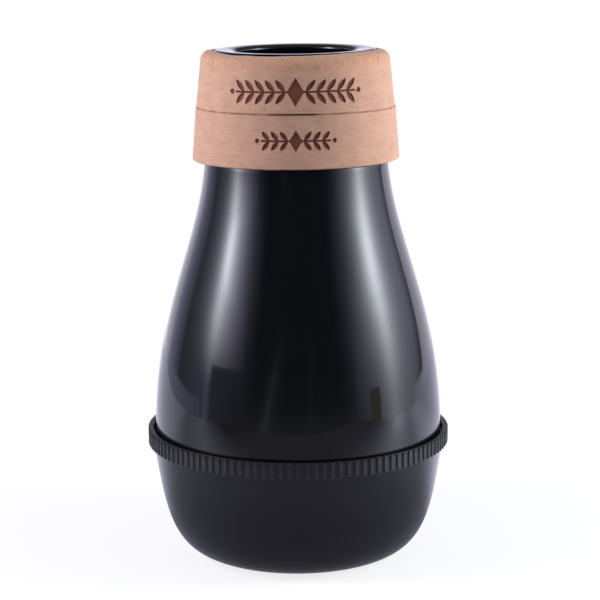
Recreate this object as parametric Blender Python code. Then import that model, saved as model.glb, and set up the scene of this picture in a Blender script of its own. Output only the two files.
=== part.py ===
"""Trombone practice mute, modelled as the separate pieces it comes apart into.

A hollow bulb with a foam-sleeved neck screws onto a bowl-shaped end cap. A knurled
rubber ring on the cap is the grip for that thread. Metres, +Z up, with the origin at
the middle of the flat foot that the mute stands on.
"""
import math

import bmesh
import bpy
from mathutils import Vector
from mathutils.geometry import interpolate_bezier

# Clearances
FIT_GAP = 0.0003              # between pieces that touch
THREAD_GAP = 0.0003           # between a ridge's crest and the other thread's root
SHROUD_GAP = 0.0008           # between the bulb and the rubber ring around its rim

# Roundness
SEGMENTS = 56                 # sides of a turned piece
CURVE_STEPS = 9               # steps along each long curve of an outline
CORNER_STEPS = 3              # steps round a corner

# Bulb and neck
BULB_RADIUS = 0.0513          # outside, at the rim
BULB_HEIGHT = 0.0957          # from the top of the rim's land to the neck's shoulder
BULB_WALL = 0.0026
BULB_DRAW = 0.0443            # how far the bulb's side keeps its fullness upwards
BULB_LEAN = 0.0169            # inward slope at the foot of the bulb's side
RIM_LAND = 0.0016             # straight band above the rim
NECK_ROOT_RADIUS = 0.0324     # outside, just under the collars
NECK_DRAW = 0.0295            # how far the neck's slope runs on down into the bulb
NECK_LEAN = 0.078             # slope of the neck where it meets the collars
SHOULDER_STEP = 0.0012        # ledge that the collars sit on
NECK_TAPER = 0.074            # slope of the neck inside the collars
NECK_WALL = 0.0025
NECK_SETBACK = 0.0021         # how far the neck's top edge lies below the collars' top

# Foam collars
LOWER_COLLAR_HEIGHT = 0.01815
UPPER_COLLAR_HEIGHT = 0.01915
LOWER_COLLAR_WALL = 0.0048
UPPER_COLLAR_WALL = 0.0046    # at its lower edge
UPPER_COLLAR_TOP_WALL = 0.0043
COLLAR_EDGE_ROUND = 0.0005
COLLAR_TOP_ROUND = 0.0034

# Mouth ring
LIP_HEIGHT = 0.0025           # from the flange's underside to the crest
LIP_EDGE = 0.0011             # straight side of the flange
LIP_SETBACK = 0.0006          # how far the flange stays inside the neck's outer edge
LIP_CREST_INSET = 0.0026      # from the flange's side to the crest
MOUTH_RADIUS = 0.0209         # the opening
LIP_DROP = 0.0027             # from the crest down to the inner edge
LIP_TUCK = 0.0031             # from the inner edge down to the throat's wall
THROAT_LENGTH = 0.0103        # the sleeve that stands in the neck
THROAT_WALL = 0.0018

# End cap
CAP_PROUD = 0.0007            # the cap's side stands this far outside the bulb's
CAP_HEIGHT = 0.0399           # from the foot to the shelf under the rubber ring
CAP_WALL = 0.0026
CAP_DRAW = 0.0235             # how far the cap's side keeps its fullness downwards
CAP_LEAN = 0.15               # inward slope at the top of the cap's side
FOOT_RADIUS = 0.0292          # outer edge of the flat foot
FOOT_SWEEP = 0.0171           # how flat the curve leaves the foot
FOOT_WIDTH = 0.0065           # of the annulus it stands on
FOOT_RECESS = 0.0008
FLOOR_WALL = 0.0026
GROOVE_HEIGHT = 0.0017        # groove that the rubber ring snaps into
GROOVE_DEPTH = 0.0008
RIM_HEIGHT = 0.0010           # bead above that groove
RIM_SETBACK = 0.0003          # the bead stays this far inside the bulb's side
SPIGOT_WALL = 0.0024
SPIGOT_TOP = 0.0010           # plain band above the thread, with its chamfers
SPIGOT_CHAMFER = 0.0005
WEB_HEIGHT = 0.0045           # slope that carries the spigot inside the cap

# Screw thread
THREAD_PITCH = 0.0040
THREAD_TURNS = 2
THREAD_DEPTH = 0.0010
THREAD_FLANK = 0.0007         # height of a ridge's sloping side
THREAD_CREST = 0.0010         # height of a ridge's flat top
THREAD_FADE = 0.2             # turns over which a ridge runs out
THREAD_LEAD_IN = 0.0005       # plain wall before and after a thread

# Rubber ring
RING_PROUD = 0.0020           # it stands this far outside the cap's side
RING_HEIGHT = 0.0058
TOOTH_COUNT = 120
TOOTH_DEPTH = 0.0008
TOOTH_SHARE = 0.4             # of each pitch that is crest
TEETH_PER_SIDE = 2            # teeth over each side of the ring's bore

# Seal
SEAL_THICKNESS = 0.0012
SEAL_MARGIN = 0.0003          # it stays this far inside both edges of the bulb's rim

# Vent tube and damping foam
VENT_BORE_RADIUS = 0.0020
VENT_TUBE_WALL = 0.0015
VENT_TUBE_LENGTH = 0.0480
VENT_SOCKET_DEPTH = 0.0040
VENT_SOCKET_WALL = 0.0025
VENT_SEAT = 0.0010            # material under the tube's end
VENT_SIDES = 24
DISC_THICKNESS = 0.0120

# Heights
SHELF_Z = CAP_HEIGHT
SHOULDER_Z = SHELF_Z + GROOVE_HEIGHT + RIM_HEIGHT
SEAL_Z = SHOULDER_Z + FIT_GAP
RIM_Z = SEAL_Z + SEAL_THICKNESS + FIT_GAP
BULB_Z = RIM_Z + RIM_LAND
NECK_Z = BULB_Z + BULB_HEIGHT
LOWER_COLLAR_Z = NECK_Z + FIT_GAP
UPPER_COLLAR_Z = LOWER_COLLAR_Z + LOWER_COLLAR_HEIGHT + FIT_GAP
COLLAR_TOP_Z = UPPER_COLLAR_Z + UPPER_COLLAR_HEIGHT
NECK_TOP_Z = COLLAR_TOP_Z - NECK_SETBACK
LIP_Z = NECK_TOP_Z + FIT_GAP
RING_Z = SHELF_Z + FIT_GAP
FLOOR_Z = FOOT_RECESS + FLOOR_WALL

# Radii of the two threads
SOCKET_RADIUS = BULB_RADIUS - BULB_WALL
SOCKET_CREST = SOCKET_RADIUS - THREAD_DEPTH
SPIGOT_CREST = SOCKET_RADIUS - THREAD_GAP
SPIGOT_RADIUS = SPIGOT_CREST - THREAD_DEPTH
THREAD_RISE = THREAD_PITCH * THREAD_TURNS + 2 * THREAD_FLANK + THREAD_CREST
SPIGOT_THREAD_Z = SHOULDER_Z + THREAD_LEAD_IN

# Radii of the cap's rim and the rubber ring
CAP_RADIUS = BULB_RADIUS + CAP_PROUD
CAP_RIM_RADIUS = BULB_RADIUS - RIM_SETBACK
GROOVE_RADIUS = CAP_RIM_RADIUS - GROOVE_DEPTH
RING_RADIUS = CAP_RADIUS + RING_PROUD

# Radii of the vent
TUBE_RADIUS = VENT_BORE_RADIUS + VENT_TUBE_WALL
SOCKET_BORE_RADIUS = TUBE_RADIUS + FIT_GAP
BOSS_RADIUS = SOCKET_BORE_RADIUS + VENT_SOCKET_WALL
TUBE_SEAT_Z = FLOOR_Z + VENT_SEAT


def neck_radius(z):
    """Outside of the neck where the collars cover it."""
    return NECK_ROOT_RADIUS - SHOULDER_STEP - NECK_TAPER * (z - NECK_Z)


def curve(start, start_handle, end_handle, end):
    """A smooth stretch of an outline, as (radius, height) points."""
    knots = [Vector(point) for point in (start, start_handle, end_handle, end)]
    return [tuple(point) for point in interpolate_bezier(*knots, CURVE_STEPS + 1)]


def corner(centre, radii, start_angle, end_angle):
    """A rounded corner of an outline, as (radius, height) points."""
    points = []
    for step in range(CORNER_STEPS + 1):
        angle = math.radians(start_angle + (end_angle - start_angle) * step / CORNER_STEPS)
        points.append((centre[0] + radii[0] * math.cos(angle), centre[1] + radii[1] * math.sin(angle)))
    return points


def inset(points, wall):
    """Moves a curve that runs bottom to top towards the axis, square to itself."""
    moved = []
    for index, (radius, height) in enumerate(points):
        before = points[max(index - 1, 0)]
        after = points[min(index + 1, len(points) - 1)]
        along = Vector((after[0] - before[0], after[1] - before[1])).normalized()
        moved.append((radius - wall * along.y, height + wall * along.x))
    return moved


def radius_at(points, height):
    """Radius of a curve that runs bottom to top, at one height."""
    for low, high in zip(points, points[1:]):
        if low[1] <= height <= high[1]:
            share = (height - low[1]) / (high[1] - low[1])
            return low[0] + (high[0] - low[0]) * share
    return points[0][0] if height < points[0][1] else points[-1][0]


def between(points, low, high):
    """The points of a curve that lie between two heights, ends made exact."""
    inner = [point for point in points if low < point[1] < high]
    return [(radius_at(points, low), low)] + inner + [(radius_at(points, high), high)]


def bulb_curve():
    """Outside of the bulb, from its rim land up to the neck."""
    return curve(
        (BULB_RADIUS, BULB_Z),
        (BULB_RADIUS - BULB_LEAN * BULB_DRAW, BULB_Z + BULB_DRAW),
        (NECK_ROOT_RADIUS + NECK_LEAN * NECK_DRAW, NECK_Z - NECK_DRAW),
        (NECK_ROOT_RADIUS, NECK_Z),
    )


def cap_curve():
    """Outside of the end cap, from its foot up to the shelf."""
    return curve(
        (FOOT_RADIUS, 0.0),
        (FOOT_RADIUS + FOOT_SWEEP, 0.0),
        (CAP_RADIUS - CAP_LEAN * CAP_DRAW, SHELF_Z - CAP_DRAW),
        (CAP_RADIUS, SHELF_Z),
    )


def add_ring(bm, radius, height, count):
    """A level circle of vertices."""
    ring = []
    for side in range(count):
        angle = math.tau * side / count
        ring.append(bm.verts.new((radius * math.cos(angle), radius * math.sin(angle), height)))
    return ring


def join_rings(bm, first, second):
    """A band of quads between two circles of vertices."""
    count = len(first)
    for side in range(count):
        following = (side + 1) % count
        bm.faces.new((first[side], first[following], second[following], second[side]))


def add_turned(bm, outline, count=SEGMENTS, open_after=None):
    """Turns a closed outline round the axis, and returns its circles.

    The band after the outline's point number open_after is left out.
    """
    rings = [add_ring(bm, radius, height, count) for radius, height in outline]
    for index, ring in enumerate(rings):
        if index != open_after:
            join_rings(bm, ring, rings[(index + 1) % len(rings)])
    return rings


def add_fan(bm, apex, chain):
    """Triangles from one vertex to each step of a chain."""
    for first, second in zip(chain, chain[1:]):
        bm.faces.new((apex, first, second))


def add_thread(bm, low_ring, high_ring, root, crest, start):
    """Joins two circles by a wall with one right-hand helical ridge.

    The ridge has four corner lines. Each is one long string of vertices that climbs
    a pitch a turn, so a string lies straight above itself after a turn.
    """
    count = len(low_ring)
    last = count * THREAD_TURNS
    corners = (
        (0.0, root),
        (THREAD_FLANK, crest),
        (THREAD_FLANK + THREAD_CREST, crest),
        (2 * THREAD_FLANK + THREAD_CREST, root),
    )
    strings = []
    for offset, full_radius in corners:
        string = []
        for step in range(last + 1):
            travel = step / count
            fade = min(1.0, travel / THREAD_FADE, (THREAD_TURNS - travel) / THREAD_FADE)
            radius = root + (full_radius - root) * fade
            angle = math.tau * travel
            height = start + offset + THREAD_PITCH * travel
            string.append(bm.verts.new((radius * math.cos(angle), radius * math.sin(angle), height)))
        strings.append(string)

    for lower, upper in zip(strings, strings[1:]):
        for step in range(last):
            bm.faces.new((lower[step], lower[step + 1], upper[step + 1], upper[step]))

    bottom, top = strings[0], strings[-1]
    for step in range(last - count):
        above = step + count
        bm.faces.new((top[step], top[step + 1], bottom[above + 1], bottom[above]))

    # The plain wall below the first turn closes against the string's own start.
    for side in range(count - 1):
        bm.faces.new((low_ring[side], low_ring[side + 1], bottom[side + 1], bottom[side]))
    starts = [low_ring[0]] + [string[0] for string in strings] + [bottom[count]]
    add_fan(bm, low_ring[-1], starts + [bottom[count - 1]])

    # The plain wall above the last turn closes against its end in the same way.
    base = last - count
    for side in range(1, count):
        following = (side + 1) % count
        upper_edge = (high_ring[following], high_ring[side])
        bm.faces.new((top[base + side], top[base + side + 1]) + upper_edge)
    ends = [top[base]] + [string[last] for string in strings] + [high_ring[0]]
    add_fan(bm, high_ring[1], list(reversed(ends)))
    bm.faces.new((top[base], top[base + 1], high_ring[1]))


def make_material(name, colour, roughness, metallic=0.0):
    """A plain material in the piece's own colour."""
    material = bpy.data.materials.new(name)
    material.use_nodes = True
    shader = material.node_tree.nodes["Principled BSDF"]
    shader.inputs["Base Color"].default_value = (*colour, 1.0)
    shader.inputs["Roughness"].default_value = roughness
    shader.inputs["Metallic"].default_value = metallic
    return material


def finish_piece(name, bm, material):
    """Makes a named object from a finished shape."""
    bmesh.ops.recalc_face_normals(bm, faces=bm.faces)
    mesh = bpy.data.meshes.new(name)
    bm.to_mesh(mesh)
    bm.free()
    mesh.shade_smooth()
    mesh.set_sharp_from_angle(angle=math.radians(30))
    mesh.materials.append(material)
    piece = bpy.data.objects.new(name, mesh)
    bpy.context.scene.collection.objects.link(piece)
    return piece


def turned_piece(name, outline, material, count=SEGMENTS):
    """A piece that is only its outline turned round the axis."""
    bm = bmesh.new()
    add_turned(bm, outline, count)
    return finish_piece(name, bm, material)


def make_body_shell(material):
    """The bulb and its neck, open at both ends, threaded inside the rim."""
    outside = bulb_curve()
    # The socket's thread runs in the middle of the gaps of the spigot's.
    lowest_start = RIM_Z + THREAD_LEAD_IN
    middle = SPIGOT_THREAD_Z + THREAD_PITCH / 2
    start = middle + THREAD_PITCH * math.ceil((lowest_start - middle) / THREAD_PITCH)
    thread_top = start + THREAD_RISE + THREAD_LEAD_IN
    neck_inside = neck_radius(NECK_Z) - NECK_WALL
    inside = [point for point in inset(outside, BULB_WALL)
              if thread_top + BULB_WALL < point[1] < NECK_Z - BULB_WALL]
    outline = [(SOCKET_RADIUS, RIM_Z), (BULB_RADIUS, RIM_Z)]
    outline += outside
    outline += [
        (neck_radius(NECK_Z), NECK_Z),
        (neck_radius(NECK_TOP_Z), NECK_TOP_Z),
        (neck_radius(NECK_TOP_Z) - NECK_WALL, NECK_TOP_Z),
        (neck_inside, NECK_Z),
    ]
    outline += reversed(inside)
    outline.append((SOCKET_RADIUS, thread_top))
    bm = bmesh.new()
    rings = add_turned(bm, outline, open_after=len(outline) - 1)
    add_thread(bm, rings[0], rings[-1], SOCKET_RADIUS, SOCKET_CREST, start)
    return finish_piece("body_shell", bm, material)


def make_end_cap(material):
    """The bowl with its foot, grooved rim, threaded spigot and vent socket."""
    outside = cap_curve()
    spigot_inside = SPIGOT_RADIUS - SPIGOT_WALL
    thread_top = SPIGOT_THREAD_Z + THREAD_RISE + THREAD_LEAD_IN
    spigot_top = thread_top + SPIGOT_TOP
    web_top = SHOULDER_Z - SPIGOT_WALL
    outline = [
        (VENT_BORE_RADIUS, FOOT_RECESS),
        (FOOT_RADIUS - FOOT_WIDTH - FOOT_RECESS, FOOT_RECESS),
        (FOOT_RADIUS - FOOT_WIDTH, 0.0),
    ]
    outline += outside
    outline += [
        (GROOVE_RADIUS, SHELF_Z),
        (GROOVE_RADIUS, SHELF_Z + GROOVE_HEIGHT),
        (CAP_RIM_RADIUS, SHELF_Z + GROOVE_HEIGHT),
        (CAP_RIM_RADIUS, SHOULDER_Z),
        (SPIGOT_RADIUS, SHOULDER_Z),
    ]
    thread_band = len(outline) - 1
    outline += [
        (SPIGOT_RADIUS, thread_top),
        (SPIGOT_RADIUS - SPIGOT_CHAMFER, spigot_top),
        (spigot_inside + SPIGOT_CHAMFER, spigot_top),
        (spigot_inside, thread_top),
        (spigot_inside, web_top),
    ]
    outline += reversed(between(inset(outside, CAP_WALL), FLOOR_Z, web_top - WEB_HEIGHT))
    outline += [
        (BOSS_RADIUS, FLOOR_Z),
        (BOSS_RADIUS, TUBE_SEAT_Z + VENT_SOCKET_DEPTH),
        (SOCKET_BORE_RADIUS, TUBE_SEAT_Z + VENT_SOCKET_DEPTH),
        (SOCKET_BORE_RADIUS, TUBE_SEAT_Z),
        (VENT_BORE_RADIUS, TUBE_SEAT_Z),
    ]
    bm = bmesh.new()
    rings = add_turned(bm, outline, open_after=thread_band)
    low_ring, high_ring = rings[thread_band], rings[thread_band + 1]
    add_thread(bm, low_ring, high_ring, SPIGOT_RADIUS, SPIGOT_CREST, SPIGOT_THREAD_Z)
    return finish_piece("end_cap", bm, material)


def make_grip_ring(material):
    """The rubber ring: a stepped bore, and teeth all round the outside."""
    top = RING_Z + RING_HEIGHT
    rib_top = SHELF_Z + GROOVE_HEIGHT - FIT_GAP
    bead_top = SHOULDER_Z + FIT_GAP
    bore = [
        (GROOVE_RADIUS + FIT_GAP, RING_Z),
        (GROOVE_RADIUS + FIT_GAP, rib_top),
        (CAP_RIM_RADIUS + FIT_GAP, rib_top),
        (CAP_RIM_RADIUS + FIT_GAP, bead_top),
        (BULB_RADIUS + SHROUD_GAP, bead_top),
        (BULB_RADIUS + SHROUD_GAP, top),
    ]
    sides = TOOTH_COUNT // TEETH_PER_SIDE
    bm = bmesh.new()
    rings = [add_ring(bm, radius, height, sides) for radius, height in bore]
    for lower, upper in zip(rings, rings[1:]):
        join_rings(bm, lower, upper)

    tooth = math.tau / TOOTH_COUNT
    land = tooth * TOOTH_SHARE
    low_edge, high_edge = [], []
    for index in range(TOOTH_COUNT):
        start = index * tooth - land / 2
        for angle, radius in (
            (start, RING_RADIUS),
            (start + land, RING_RADIUS),
            (start + land, RING_RADIUS - TOOTH_DEPTH),
            (start + tooth, RING_RADIUS - TOOTH_DEPTH),
        ):
            place = (radius * math.cos(angle), radius * math.sin(angle))
            low_edge.append(bm.verts.new((*place, RING_Z)))
            high_edge.append(bm.verts.new((*place, top)))
    join_rings(bm, low_edge, high_edge)

    # Both flat ends join the toothed edge to the bore, a side of the bore at a time.
    points_per_side = len(low_edge) // sides
    for edge, ring in ((low_edge, rings[0]), (high_edge, rings[-1])):
        for side in range(sides):
            first = side * points_per_side
            outer = [edge[(first + step) % len(edge)] for step in range(points_per_side + 1)]
            bm.faces.new(outer + [ring[(side + 1) % sides], ring[side]])
    return finish_piece("grip_ring", bm, material)


def make_collar(name, low, height, low_wall, high_wall, top_round, material):
    """One foam sleeve on the neck, with a crisp lower and a rounded upper edge."""
    high = low + height
    low_outside = neck_radius(low) + FIT_GAP + low_wall
    high_outside = neck_radius(high) + FIT_GAP + high_wall
    outline = [(neck_radius(low) + FIT_GAP, low)]
    outline += corner((low_outside - COLLAR_EDGE_ROUND, low + COLLAR_EDGE_ROUND),
                      (COLLAR_EDGE_ROUND, COLLAR_EDGE_ROUND), -90, 0)
    outline += corner((high_outside - top_round, high - top_round), (top_round, top_round), 0, 90)
    outline.append((neck_radius(high) + FIT_GAP, high))
    return turned_piece(name, outline, material)


def make_mouth_ring(material):
    """The rolled lip round the mouth, on a sleeve that stands in the neck."""
    side = neck_radius(NECK_TOP_Z) - LIP_SETBACK
    crest = side - LIP_CREST_INSET
    top = LIP_Z + LIP_HEIGHT
    edge = LIP_Z + LIP_EDGE
    inner_edge = top - LIP_DROP
    sleeve = neck_radius(NECK_TOP_Z) - NECK_WALL - FIT_GAP
    throat = sleeve - THROAT_WALL
    outline = [(side, LIP_Z)]
    outline += corner((crest, edge), (LIP_CREST_INSET, top - edge), 0, 90)
    outline += corner((crest, inner_edge), (crest - MOUTH_RADIUS, LIP_DROP), 90, 180)[1:]
    outline += [
        (throat, inner_edge - LIP_TUCK),
        (throat, LIP_Z - THROAT_LENGTH),
        (sleeve, LIP_Z - THROAT_LENGTH),
        (sleeve, LIP_Z),
    ]
    return turned_piece("mouth_ring", outline, material)


def make_rim_seal(material):
    """The flat washer between the cap's shoulder and the bulb's rim."""
    inner = SOCKET_RADIUS + SEAL_MARGIN
    outer = BULB_RADIUS - SEAL_MARGIN
    top = SEAL_Z + SEAL_THICKNESS
    outline = [(inner, SEAL_Z), (outer, SEAL_Z), (outer, top), (inner, top)]
    return turned_piece("rim_seal", outline, material)


def make_damping_disc(material):
    """The foam disc on the cap's floor, cut to the bowl and to the vent socket."""
    low = FLOOR_Z + FIT_GAP
    hole = BOSS_RADIUS + FIT_GAP
    side = between(inset(cap_curve(), CAP_WALL + FIT_GAP), low, low + DISC_THICKNESS)
    outline = [(hole, low)] + side + [(hole, low + DISC_THICKNESS)]
    return turned_piece("damping_disc", outline, material)


def make_vent_tube(material):
    """The tube that lets the air out through the foot."""
    low = TUBE_SEAT_Z + FIT_GAP
    high = low + VENT_TUBE_LENGTH
    outline = [(VENT_BORE_RADIUS, low), (TUBE_RADIUS, low), (TUBE_RADIUS, high), (VENT_BORE_RADIUS, high)]
    return turned_piece("vent_tube", outline, material, VENT_SIDES)


def make_axis(name, height):
    """An empty on the thread's axis."""
    axis = bpy.data.objects.new(name, None)
    axis.location = (0.0, 0.0, height)
    axis.empty_display_size = BULB_RADIUS
    bpy.context.scene.collection.objects.link(axis)
    return axis


def hang_on(axis, pieces):
    """Parents pieces to an empty, and leaves them where they are."""
    for piece in pieces:
        piece.parent = axis
        piece.location = (0.0, 0.0, -axis.location.z)


def main():
    for old in list(bpy.data.objects):
        bpy.data.objects.remove(old, do_unlink=True)

    gloss_black = make_material("shell_black", (0.012, 0.012, 0.014), 0.12)
    lip_black = make_material("lip_black", (0.012, 0.012, 0.014), 0.15)
    satin_black = make_material("cap_black", (0.016, 0.016, 0.019), 0.42)
    foam_skin = make_material("collar_foam", (0.52, 0.31, 0.24), 0.9)
    foam_skin_top = make_material("collar_foam_top", (0.54, 0.32, 0.25), 0.9)
    knurled_rubber = make_material("grip_rubber", (0.026, 0.026, 0.029), 0.75)
    seal_rubber = make_material("seal_rubber", (0.035, 0.034, 0.033), 0.7)
    damping_foam = make_material("damping_foam", (0.085, 0.085, 0.09), 0.95)
    tube_plastic = make_material("vent_plastic", (0.03, 0.03, 0.032), 0.35)

    make_end_cap(satin_black)
    make_grip_ring(knurled_rubber)
    make_damping_disc(damping_foam)
    make_vent_tube(tube_plastic)
    seal = make_rim_seal(seal_rubber)
    shell = make_body_shell(gloss_black)
    lower = make_collar("lower_collar", LOWER_COLLAR_Z, LOWER_COLLAR_HEIGHT,
                        LOWER_COLLAR_WALL, LOWER_COLLAR_WALL, COLLAR_EDGE_ROUND, foam_skin)
    upper = make_collar("upper_collar", UPPER_COLLAR_Z, UPPER_COLLAR_HEIGHT,
                        UPPER_COLLAR_WALL, UPPER_COLLAR_TOP_WALL, COLLAR_TOP_ROUND, foam_skin_top)
    mouth = make_mouth_ring(lip_black)

    hang_on(make_axis("thread_lift", SHOULDER_Z), [seal])
    hang_on(make_axis("thread_turn", SHOULDER_Z), [shell, lower, upper, mouth])


main()
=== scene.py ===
"""Looks of the trombone practice mute: fine surfaces, finishes, studio and camera.

Metres, +Z up. The mute's axis is the Z axis, and it stands on z = 0. Every surface
here is a finer, rounded version of the solid it stands for.
"""
import math
import random

import bmesh
import bpy
import numpy as np
from mathutils import Euler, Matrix, Quaternion, Vector, noise
from mathutils.geometry import interpolate_bezier


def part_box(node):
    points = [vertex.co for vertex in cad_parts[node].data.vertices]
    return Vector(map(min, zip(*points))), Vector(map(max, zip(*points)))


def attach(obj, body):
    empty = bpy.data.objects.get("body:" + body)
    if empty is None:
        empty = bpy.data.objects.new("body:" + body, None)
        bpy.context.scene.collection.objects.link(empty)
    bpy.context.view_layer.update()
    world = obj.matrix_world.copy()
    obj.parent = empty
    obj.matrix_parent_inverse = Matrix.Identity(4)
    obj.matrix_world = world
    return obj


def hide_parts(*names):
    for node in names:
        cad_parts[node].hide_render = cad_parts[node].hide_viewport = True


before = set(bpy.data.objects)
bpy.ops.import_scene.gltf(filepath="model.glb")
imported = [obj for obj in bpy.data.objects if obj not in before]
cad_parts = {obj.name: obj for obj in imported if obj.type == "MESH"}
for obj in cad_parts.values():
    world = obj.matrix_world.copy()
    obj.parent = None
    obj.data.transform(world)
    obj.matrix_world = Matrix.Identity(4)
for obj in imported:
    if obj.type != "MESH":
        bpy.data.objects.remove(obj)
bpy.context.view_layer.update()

# Places and sizes read from the frame
cap_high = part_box("end_cap")[1]
ring_low, ring_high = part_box("grip_ring")
shell_low, shell_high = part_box("body_shell")
seal_low, seal_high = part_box("rim_seal")
band_low, band_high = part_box("lower_collar")
top_band_low, top_band_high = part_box("upper_collar")
lip_low, lip_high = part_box("mouth_ring")
disc_low, disc_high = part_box("damping_disc")
tube_low, tube_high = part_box("vent_tube")

# Clearances, as in the solids
FIT_GAP = 0.0003
THREAD_GAP = 0.0003
SHROUD_GAP = 0.0005

# Bulb and neck
BULB_RADIUS = shell_high.x
BULB_WALL = 0.0026
BULB_DRAW = 0.0443
BULB_LEAN = 0.0169
RIM_LAND = 0.0016
NECK_ROOT_RADIUS = 0.0324
NECK_DRAW = 0.0295
NECK_LEAN = 0.078
SHOULDER_STEP = 0.0012
NECK_TAPER = 0.074
NECK_WALL = 0.0025
RIM_Z = shell_low.z
BULB_Z = RIM_Z + RIM_LAND
NECK_Z = band_low.z - FIT_GAP
NECK_TOP_Z = shell_high.z

# Foam collars
BAND_WALL = 0.0048
TOP_BAND_LOW_WALL = 0.0046
TOP_BAND_HIGH_WALL = 0.0043
BAND_EDGE_ROUND = 0.0006
TOP_BAND_ROUND = 0.0034
FRONT = -math.pi / 2  # the side that faces the camera
FINE_STEP = 0.00020  # mesh spacing where the border is burnt in
COARSE_STEP = 0.00060
FINE_HALF_ARC = math.radians(44)
BURN_DEPTH = 0.00040
BURN_BLUR = 0.00055
PORE_ZONE = 0.0056  # how far the pitted edge reaches down from the top
PORE_COUNT = 260
STRAY_COUNT = 9
SEAM_SQUEEZE = 0.00014  # how far each collar bulges into the seam
GRAIN = ((0.00006, 0.0085), (0.000020, 0.0026), (0.000010, 0.0008))  # (depth, size)
PORE_DEPTH = 0.00008
BURN_SWELL = 0.00006  # how far the foam swells round a burn
SEAM_GAPE = 1.35  # share of the squeeze that is taken off at the front
GAPE_PLACE = FRONT - math.radians(1)
GAPE_WIDTH = math.radians(8)
SEAM_WAVER = ((0.00005, 1.0, 9), (0.00003, 0.25, 5))  # (height, size, seed)
SEAM_EDGE_ROUND = 0.00020
TOP_EDGE_BAND = 0.0042  # how far the more orange edge reaches down from the top

# Rise of each hand-cut edge at equal steps round it, from the right by way of the back
LEVEL_CUT = (0.0,)
TOP_CUT = (0.00020, 0.00010, 0.00005, 0.00005, 0.00005, 0.0, 0.0, 0.00010,
           0.00035, 0.00005, -0.00045, -0.00050, -0.00030, -0.00005, 0.00030, 0.00045)
BOTTOM_CUT = (0.00016, 0.0, -0.00016, 0.0)

# Border: leaf pairs a side, leaf (length, half width, slant), pitch, half lozenge, end dot
UPPER_BORDER = (5, (0.0054, 0.00092, math.radians(50)), 0.0036, (0.0030, 0.0049), 0.0009)
LOWER_BORDER = (3, (0.0042, 0.00082, math.radians(50)), 0.0031, (0.0023, 0.0037), 0.0008)
UPPER_BORDER_RISE = 0.0074
LOWER_BORDER_RISE = 0.0096
STEM_HALF_WIDTH = 0.00036

# Mouth ring
LIP_HEIGHT = 0.0025
LIP_EDGE = 0.0011
LIP_SETBACK = 0.0002
LIP_CREST_INSET = 0.0017
LIP_SQUARENESS = 2.8
MOUTH_RADIUS = 0.0209
LIP_DROP = 0.0027
LIP_TURN = 0.0014
LIP_TUCK = 0.0031
THROAT_WALL = 0.0018
LIP_Z = lip_high.z - LIP_HEIGHT

# How the lip lies: (lift, slope to the right, slope to the back)
LIP_CUT = (-0.00015, 0.0045, 0.0125)

# End cap
CAP_RADIUS = cap_high.x
CAP_WALL = 0.0026
CAP_DRAW = 0.0235
CAP_LEAN = 0.15
FOOT_RADIUS = 0.0292
FOOT_SWEEP = 0.0171
FOOT_WIDTH = 0.0065
FOOT_RECESS = 0.0008
FLOOR_Z = FOOT_RECESS + 0.0026
GROOVE_HEIGHT = 0.0017
RIM_HEIGHT = 0.0010
CAP_RIM_RADIUS = BULB_RADIUS - 0.0003
GROOVE_RADIUS = CAP_RIM_RADIUS - 0.0008
SHELF_Z = ring_low.z - FIT_GAP
SHOULDER_Z = SHELF_Z + GROOVE_HEIGHT + RIM_HEIGHT
SPIGOT_WALL = 0.0024
SPIGOT_TOP = 0.0010
SPIGOT_CHAMFER = 0.0005
WEB_HEIGHT = 0.0045

# Rim seal and damping disc
SEAL_WIDTH = 0.0020
DISC_SIDES = 360
DISC_STEPS = 70
TORN_DEPTH = 0.0005  # how rough its top is
TORN_SIZE = 0.0020

# Screw thread
THREAD_PITCH = 0.0040
THREAD_TURNS = 2
THREAD_DEPTH = 0.0010
THREAD_FLANK = 0.0007
THREAD_CREST = 0.0010
THREAD_FADE = 0.2
THREAD_LEAD_IN = 0.0005
SOCKET_RADIUS = BULB_RADIUS - BULB_WALL
SOCKET_CREST = SOCKET_RADIUS - THREAD_DEPTH
SPIGOT_CREST = SOCKET_RADIUS - THREAD_GAP
SPIGOT_RADIUS = SPIGOT_CREST - THREAD_DEPTH
THREAD_RISE = THREAD_PITCH * THREAD_TURNS + 2 * THREAD_FLANK + THREAD_CREST
SPIGOT_THREAD_Z = SHOULDER_Z + THREAD_LEAD_IN

# Rubber ring
RING_RADIUS = CAP_RADIUS + 0.0020
RING_TOP_Z = ring_high.z
TOOTH_COUNT = 120
TOOTH_DEPTH = 0.0006
TOOTH_STEPS = 12  # columns of the mesh in each tooth's pitch
TOOTH_LAND = 0.10  # of the pitch that is flat crest
TOOTH_FLANK = 0.18  # of the pitch that is each rounded flank
RING_SAG = (0.00025, 0.00035)  # how far its soft top edge sags: all round, and more at the right

# Vent
VENT_BORE_RADIUS = 0.0020
TUBE_RADIUS = tube_high.x
VENT_SEAT = 0.0010
VENT_SOCKET_DEPTH = 0.0040
SOCKET_BORE_RADIUS = TUBE_RADIUS + FIT_GAP
BOSS_RADIUS = SOCKET_BORE_RADIUS + 0.0025
TUBE_SEAT_Z = FLOOR_Z + VENT_SEAT

# Fineness of the surfaces
SIDES = 256
TUBE_SIDES = 48
CURVE_STEPS = 56
FILLET_STEPS = 4

# Camera, fitted to the photograph's outline
PHOTO_SIZE = 600
CAMERA_DISTANCE = 0.6533  # level distance from the mute's axis
CAMERA_HEIGHT = 0.21845
CAMERA_PITCH = math.radians(11.042)
CAMERA_ROLL = math.radians(0.45)
FOCAL_PIXELS = 1863.7
AXIS_PIXEL = 297.1  # the mute's axis in the photograph, across
SENSOR_WIDTH = 36.0


# Outlines

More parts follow.
